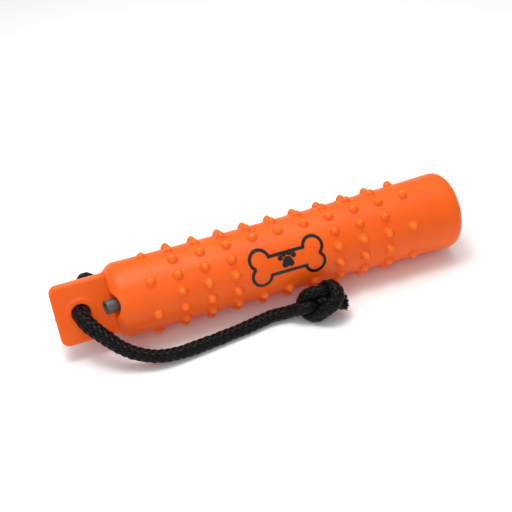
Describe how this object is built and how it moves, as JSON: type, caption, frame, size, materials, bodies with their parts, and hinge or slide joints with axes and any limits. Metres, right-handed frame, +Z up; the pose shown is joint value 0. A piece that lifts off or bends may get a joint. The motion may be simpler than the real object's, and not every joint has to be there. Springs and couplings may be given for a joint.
{
  "type": "dog training bumper",
  "caption": "Hollow orange retrieving dummy with grip knobs, a flat end tab, an inflation valve and a knotted black throw rope.",
  "frame": {"origin": "centre of the bumper's footprint, on the surface it lies on, measured without the rope", "axes": "+X along the body from the tab end to the plain end, +Z up; the printed face and the rope are on the -Y side"},
  "size_m": [0.292, 0.086, 0.0605],
  "materials": {
    "vinyl": "soft satin vinyl, slightly translucent",
    "valve_grey": "satin moulded grey plastic",
    "valve_rubber": "soft grey rubber",
    "ink": "pad-printed black ink",
    "rope": "black braided polypropylene"
  },
  "bodies": {
    "bumper": {"body_shell": "vinyl", "valve_stem": "valve_grey", "valve_core": "valve_rubber", "printed_mark": "ink", "rope_in_tab": "rope", "stopper_knot": "rope", "stopper_tail": "rope"},
    "rope": {"throw_rope": "rope", "end_knot": "rope", "rope_tip": "rope"}
  },
  "joints": [
    {"name": "rope_swing", "type": "hinge", "parent": "bumper", "child": "rope", "pos_m": [-0.1285, -0.01, 0.0314], "axis": [0, 0, -1], "range_deg": [0, 100]}
  ]
}
